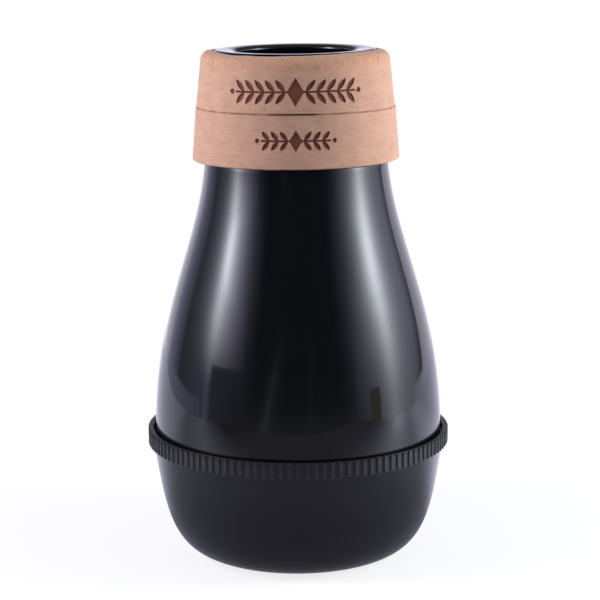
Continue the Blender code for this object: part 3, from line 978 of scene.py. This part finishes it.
def pore_field(angle, radius, height, low, high, pitted, seed):
    """Small upright pits: a row just under a cut top edge, and a few strays."""
    draw = random.Random(seed)
    pits = []
    for index in range(PORE_COUNT if pitted else 0):
        pits.append((draw.uniform(0, math.tau), high - draw.triangular(0.0012, PORE_ZONE, 0.0034),
                     draw.uniform(0.00012, 0.00022), draw.uniform(2.0, 5.0), draw.uniform(0.2, 0.7)))
    for index in range(STRAY_COUNT):
        pits.append((draw.uniform(0, math.tau), draw.uniform(low + 0.001, high - 0.001),
                     draw.uniform(0.00014, 0.00026), draw.uniform(0.8, 1.4), draw.uniform(0.3, 0.6)))
    if pitted:
        pits.append((FRONT - math.radians(17.3), low + 0.0017, 0.00042, 0.8, 1.0))
    pore = np.zeros(np.broadcast_shapes(angle.shape, radius.shape))
    for pit_angle, pit_z, size, tall, strength in pits:
        wrapped = (angle - pit_angle + math.pi) % math.tau - math.pi
        distance = np.hypot(wrapped * radius, (height - pit_z) / tall)
        pore = np.maximum(pore, strength * (1 - smooth_step(0.3 * size, size, distance)))
    return pore


def make_collar(name, node, low, high, walls, rounds, cuts, squeezes, border, border_z, seed,
                material):
    """One foam collar, with its grain, its pits, its uneven edges and its border."""
    outline = collar_outline(low, high, *walls, *rounds)
    radius, height, share = outline[:, 0:1], outline[:, 1:2], outline[:, 2:3]
    angle = collar_angles(outline[:, 0].max())[None, :]
    along = np.gradient(outline[:, 0:2], axis=0)
    along /= np.linalg.norm(along, axis=1)[:, None]
    out_across, out_up = along[:, 1:2], -along[:, 0:1]

    spots = spun(radius, height, angle)
    depth = sum(tall * noise_at(spots, size, seed + index) for index, (tall, size) in enumerate(GRAIN))
    pore = pore_field(angle, radius, height, low, high, squeezes[1] == 0.0, seed) * (share > 0.9)
    depth -= PORE_DEPTH * pore

    across = ((angle - FRONT + math.pi) % math.tau - math.pi) * radius
    near = (share > 0.9) * (np.abs(across) < 0.030)
    inside = border_inside(across, height - border_z, *border)
    burn = smooth_step(-0.00010, BURN_BLUR - 0.00010, inside) * near
    swell = smooth_step(-0.00080, -0.00015, inside) * (1 - burn) * near
    depth += BURN_SWELL * swell - BURN_DEPTH * burn

    # The edges were cut by hand, so they lean and waver, and press on each other at the seam.
    rise = (height - low) / (high - low)
    lean = cut_rise(cuts[0], angle) * (1 - rise) + cut_rise(cuts[1], angle) * rise
    gape = 1 - SEAM_GAPE * share / np.cosh((angle - GAPE_PLACE) / GAPE_WIDTH)
    ring = np.stack([np.cos(angle) * 4.0, np.sin(angle) * 4.0, 0 * angle + seed], axis=-1)
    waver = sum(tall * noise_at(ring, size, wave_seed) for tall, size, wave_seed in SEAM_WAVER)
    squeeze = squeezes[0] * (1 - rise) ** 8 + squeezes[1] * rise ** 8
    pressed = np.abs(squeeze) / SEAM_SQUEEZE

    depth = depth * share
    shift = depth * out_up + lean + squeeze * gape + pressed * waver
    mesh = grid_mesh(name, spun(radius + depth * out_across, height + shift, angle))
    for label, values in (("burn", burn), ("pore", pore)):
        attribute = mesh.attributes.new(label, "FLOAT", "POINT")
        attribute.data.foreach_set("value", values.ravel().astype(np.float32))
    piece = place_piece(mesh, material, "upper", node, sharp=60)


def make_collars():
    """Both foam collars. Only the upper one has the rounded, pitted top edge."""
    make_collar("lower_foam_collar", "lower_collar", band_low.z, band_high.z,
                (BAND_WALL, BAND_WALL), (BAND_EDGE_ROUND, SEAM_EDGE_ROUND),
                (BOTTOM_CUT, LEVEL_CUT), (0.0, SEAM_SQUEEZE),
                LOWER_BORDER, band_low.z + LOWER_BORDER_RISE, 21,
                collar_material("collar_foam_low", 1.0, band_high.z))
    make_collar("upper_foam_collar", "upper_collar", top_band_low.z, top_band_high.z,
                (TOP_BAND_LOW_WALL, TOP_BAND_HIGH_WALL), (SEAM_EDGE_ROUND, TOP_BAND_ROUND),
                (LEVEL_CUT, TOP_CUT), (-SEAM_SQUEEZE, 0.0),
                UPPER_BORDER, top_band_low.z + UPPER_BORDER_RISE, 33,
                collar_material("collar_foam_top", top_band_high.z - TOP_EDGE_BAND, top_band_low.z))


# Studio: a light tent round the mute. Its cloth walls are seen in the gloss, and light the mute.

TENT_REACH = 0.45  # from the mute's axis to each wall
TENT_HEIGHT = 0.62
FLOOR_REACH = 2.0
FLOOR_DROP = 0.00002  # how far the floor lies below the foot
FLOOR_GREY = 0.25  # near the mute, where its shadow falls
FLOOR_LIFT = 0.80  # light that the near floor gives off too
FLOOR_FADE = (0.10, 0.30)  # distances between which it turns plain white
WHITE = (1, 1, 1, 1)
LEFT_TINT = (1.00, 1.00, 1.06)
RIGHT_TINT = (0.95, 1.00, 1.06)
HALO_TINT = (1.03, 1.00, 1.36)
SHADE_TINT = (1.01, 1.00, 1.45)
CLOTH_TINT = (1.03, 1.00, 1.20)
FRONT_TINT = (0.88, 1.00, 1.32)
TABLE_TINT = (1.01, 1.00, 1.26)
LOW_TINT = (0.98, 1.00, 1.12)
LEG_TINT = (1.00, 1.00, 0.80)
BOX_TONE = (0.42, 0.43, 0.35)

# Levels of light
LEFT_LAMP = 13.5
LEFT_HALO = 2.7
RIGHT_LAMP = 14.0
RIGHT_HALO = 0.85
FRONT_GLOW = 0.060
BACKDROP_GLOW = 1.12
CEILING_GLOW = 0.16
SWEEP_GLOW = 1.16  # the backdrop's sweep, as the right wall shows it
LEG_GLOW = 0.20

# Places on the walls, in metres
LAMP_TOP = (0.213, 0.243)  # heights between which both lamps get brighter
SWEEP_RISE = 0.15  # height of the sweep's curved foot
SWEEP_PLACE = 0.337
SWEEP_BEND = 0.112  # how far forward the sweep runs at the table
CASE_TOP = 0.090
LEG_FOOT = 0.215  # how far left the stand's leg meets the table

# The left wall's cloth from front to back, as (place, level)
LEFT_CLOTH = ((-TENT_REACH, 0.15), (-0.10, 0.50), (0.12, 0.20), (0.165, 0.19), (0.185, 0.36),
              (TENT_REACH, 0.86))


def left_wall_glow(x, y, z):
    """The left lamp behind its cloth, with a dark case standing low in front of it."""
    hot = 0.82 + 0.27 * ramp_up(z, *LAMP_TOP)
    core = LEFT_LAMP * bell(y, -0.130, 0.042) * ramp_up(z, 0.060, 0.300) * ramp_down(z, 0.45, 0.57) * hot
    halo = LEFT_HALO * bell(y, -0.200, 0.095) * ramp_up(z, 0.040, 0.280) * ramp_down(z, 0.42, 0.60)
    slit = 0.35 * bell(y, -0.116, 0.010) * ramp_down(z, 0.09, 0.13)
    table = 0.62 * ramp_down(z, 0.025, 0.045) * ramp_up(y, -0.10, -0.06)
    cloth = maths("MAXIMUM", stepped(y, LEFT_CLOTH), table)
    glow = summed(scaled(LEFT_TINT, core), scaled(HALO_TINT, halo + slit), scaled(SHADE_TINT, cloth))
    case_top = CASE_TOP - 0.10 * y
    case = ramp_down(y, -0.152, -0.146) * ramp_down(z - case_top, -0.004, 0.006)
    return mixed(case, glow, scaled(SHADE_TINT, 0.335 + 0.36 * y))


def right_wall_glow(x, y, z):
    """The right lamp, with the edge of the backdrop's sweep behind it and a box in front."""
    rise = maths("MINIMUM", z / 0.22, 1.0)
    rise = 0.16 + 0.84 * (rise * rise)
    hot = 0.87 + 0.16 * ramp_up(z, *LAMP_TOP)
    core = RIGHT_LAMP * bell(y, -0.082, 0.056) * rise * ramp_down(z, 0.33, 0.47) * hot
    lift = 0.35 + 0.65 * ramp_up(z, 0.0, 0.2)
    halo = RIGHT_HALO * ramp_up(y, -0.50, -0.20) * lift * ramp_down(z, 0.42, 0.60)
    halo += 0.3 * bell(y, 0.06, 0.05)
    cloth = 0.25 - 0.22 * ramp_up(y, 0.15, 0.32)
    low = 1.0 - maths("MINIMUM", z / SWEEP_RISE, 1.0)
    from_sweep = y - (SWEEP_PLACE - SWEEP_BEND * (low * low))
    dim = 1.0 - 0.55 * ramp_up(from_sweep, -0.16, -0.005)
    glow = summed(scaled(RIGHT_TINT, core * dim), scaled(HALO_TINT, (halo + cloth) * dim))
    near_table = ramp_down(z, 0.018, 0.032) * ramp_up(y, 0.06, 0.12)
    past = maths("MAXIMUM", ramp_up(from_sweep, -0.006, 0.012), near_table)
    glow = mixed(past, glow, toned(CLOTH_TINT, SWEEP_GLOW))
    box = ramp_up(y, -0.295, -0.290) * ramp_down(y, -0.205, -0.198) * ramp_down(z, 0.066, 0.072)
    return mixed(box, glow, BOX_TONE)


def front_wall_glow(x, y, z):
    """The tent's dim open front, with a stand leaning in it and cloth at both sides."""
    left = 0.62 * ramp_down(x, -0.52, -0.26) * ramp_up(z, -0.05, 0.45)
    right = 0.50 * ramp_up(x, 0.26, 0.54) * ramp_up(z, -0.15, 0.45)
    low = 0.05 * ramp_down(z, 0.0, 0.16) + 0.09 * ramp_down(z, 0.0, 0.05)
    lean = x - (0.55 * z - LEG_FOOT)
    leg = LEG_GLOW * bell(lean, 0.0, 0.020) * ramp_down(z, 0.05, 0.26)
    leg += 0.04 * bell(x, 0.078, 0.012) * ramp_down(z, 0.16, 0.22)
    return summed(scaled(HALO_TINT, left + right), scaled(LOW_TINT, low), scaled(LEG_TINT, leg),
                  toned(FRONT_TINT, FRONT_GLOW))


def back_wall_glow(x, y, z):
    """The white backdrop, brightest low down."""
    low = BACKDROP_GLOW + 0.5 * bell(x, -0.17, 0.06)
    return scaled(CLOTH_TINT, low * (1.0 - 0.92 * ramp_up(z, 0.17, 0.33)))


def ceiling_glow(x, y, z):
    """The tent's dim top."""
    return scaled(FRONT_TINT, CEILING_GLOW + 0.05 * ramp_up(y, -0.4, 0.4))


def table_glow(spot, x, y):
    """The table top as the mute sees it: dim in front, brighter beside the lamps and behind."""
    level = 0.28 + 0.30 * ramp_up(y, -0.26, -0.02) + 0.45 * ramp_up(y, 0.01, 0.09)
    right = 1.15 + 1.20 * ramp_up(x, 0.20, 0.45)
    level += right * bell(y, -0.065, 0.045) * ramp_up(x, 0.08, 0.20)
    level += 0.45 * bell(y, -0.085, 0.035) * ramp_down(x, -0.20, -0.08)
    level += 0.32 * ramp_up(y, 0.00, 0.06) * ramp_down(y, 0.08, 0.18) * ramp_up(x, 0.03, 0.10)
    level *= 1.0 - 0.45 * ramp_down(x, -0.40, -0.12) * ramp_down(y, -0.24, -0.16)
    away = distance_of(spot)
    shade = 0.50 - 0.30 * ramp_up(y, 0.0, 0.05)
    level *= 1.0 - shade * ramp_down(away, 0.05, 0.17)
    level *= 1.0 - 0.45 * ramp_down(away, 0.045, 0.072) * ramp_up(y, 0.002, 0.022)
    return scaled(TABLE_TINT, level)


def bare_material(name, sampling):
    """A material without a shader yet, its node tree and the object's own coordinates."""
    material = bpy.data.materials.new(name)
    material.use_nodes = True
    material.cycles.emission_sampling = sampling
    tree = material.node_tree
    tree.nodes.clear()
    return material, tree, wire(tree, "TexCoord", output="Object")


def glowing(tree, colour, strength=1.0):
    """A shader that gives off light."""
    return wire(tree, "Emission", {"Color": colour, "Strength": strength})


def blend(share, first, second):
    """A blend of two shaders."""
    return wire(share.tree, "MixShader", {0: share, 1: first, 2: second})


def add_sheet(name, corners, material, height=0.0):
    """A flat object with four corners."""
    mesh = bpy.data.meshes.new(name)
    mesh.from_pydata(corners, [], [(0, 1, 2, 3)])
    mesh.materials.append(material)
    sheet = new_object(name, mesh)
    sheet.location.z = height
    return sheet


def make_sheet(name, corners, glow, sampled):
    """One glowing wall of the tent. The camera looks through it."""
    material, tree, spot = bare_material(name, "FRONT_BACK" if sampled else "NONE")
    light = glowing(tree, glow(*parts_of(spot)))
    clear = wire(tree, "BsdfTransparent")
    from_camera = wire(tree, "LightPath", output="Is Camera Ray")
    add_node(tree, "OutputMaterial", {"Surface": blend(from_camera, light, clear)})
    sheet = add_sheet(name, corners, material)


def square_corners(reach, height=0.0):
    """The corners of a level square round the axis."""
    corners = ((-1, -1), (1, -1), (1, 1), (-1, 1))
    return [(reach * across, reach * deep, height) for across, deep in corners]


def make_tent():
    """The five walls of the light tent."""
    front_left, front_right, back_right, back_left = [spot[:2] for spot in square_corners(TENT_REACH)]

    def upright(first, second):
        return [(*first, 0.0), (*second, 0.0), (*second, TENT_HEIGHT), (*first, TENT_HEIGHT)]

    make_sheet("tent_left", upright(front_left, back_left), left_wall_glow, True)
    make_sheet("tent_right", upright(back_right, front_right), right_wall_glow, True)
    make_sheet("tent_front", upright(front_right, front_left), front_wall_glow, False)
    make_sheet("tent_back", upright(back_left, back_right), back_wall_glow, False)
    make_sheet("tent_top", square_corners(TENT_REACH, TENT_HEIGHT), ceiling_glow, False)


def make_world():
    """Plain white all round, outside the tent."""
    world = bpy.data.worlds.new("studio")
    bpy.context.scene.world = world
    world.use_nodes = True
    world.cycles.sampling_method = "NONE"
    tree = world.node_tree
    tree.nodes.clear()
    white = wire(tree, "Background", {"Color": WHITE, "Strength": 1.0})
    add_node(tree, "OutputWorld", {"Surface": white})


def make_floor():
    """A pale table top that keeps the mute's soft shadow and fades to white further off."""
    material, tree, spot = bare_material("table_top", "NONE")
    x, y = parts_of(spot)[:2]
    table = glowing(tree, table_glow(spot, x, y))
    grey = wire(tree, "BsdfDiffuse", {"Color": (FLOOR_GREY, FLOOR_GREY, FLOOR_GREY, 1)})
    near = wire(tree, "AddShader", {0: grey, 1: glowing(tree, WHITE, FLOOR_LIFT)})
    seen_floor = blend(ramp_up(distance_of(spot), *FLOOR_FADE), near, glowing(tree, WHITE))

    ray = add_node(tree, "LightPath").outputs
    behind = Wire(ray["Is Glossy Ray"]) * ramp_up(y, TENT_REACH, TENT_REACH + 0.05)
    seen = maths("ADD", Wire(ray["Is Camera Ray"]), Wire(ray["Is Transmission Ray"]), clamp=True)
    seen = maths("ADD", seen, behind, clamp=True)
    add_node(tree, "OutputMaterial", {"Surface": blend(seen, table, seen_floor)})
    floor = add_sheet("floor", square_corners(FLOOR_REACH), material, -FLOOR_DROP)


def make_camera():
    """The photograph's viewpoint. The mute leans slightly, because the camera did."""
    camera = new_object("camera", bpy.data.cameras.new("camera"))
    data = camera.data
    data.sensor_width = SENSOR_WIDTH
    data.lens = FOCAL_PIXELS / PHOTO_SIZE * SENSOR_WIDTH
    data.clip_start = 0.01
    data.clip_end = 50.0
    camera.location = (0.0, -CAMERA_DISTANCE, CAMERA_HEIGHT)
    yaw = math.atan((PHOTO_SIZE / 2 - AXIS_PIXEL) / FOCAL_PIXELS)
    level = Euler((math.pi / 2 - CAMERA_PITCH, 0.0, -yaw)).to_quaternion()
    camera.rotation_mode = "QUATERNION"
    camera.rotation_quaternion = level @ Quaternion((0, 0, 1), -CAMERA_ROLL)
    bpy.context.scene.camera = camera


def main():
    make_camera()
    make_world()
    make_tent()
    make_floor()
    bpy.context.scene.view_settings.view_transform = "Standard"

    make_bowl(satin_material())
    make_knurled_ring(rubber_material("grip_rubber", GRIP_BLACK, 0.34, RING_TOP_Z))
    make_disc(open_foam_material())
    make_tube(tube_material())
    make_seal(rubber_material("seal_rubber", SEAL_BLACK, 0.70, seal_high.z))
    make_bulb(gloss_material("shell_gloss"))
    make_lip(gloss_material("lip_gloss"))
    make_collars()


main()
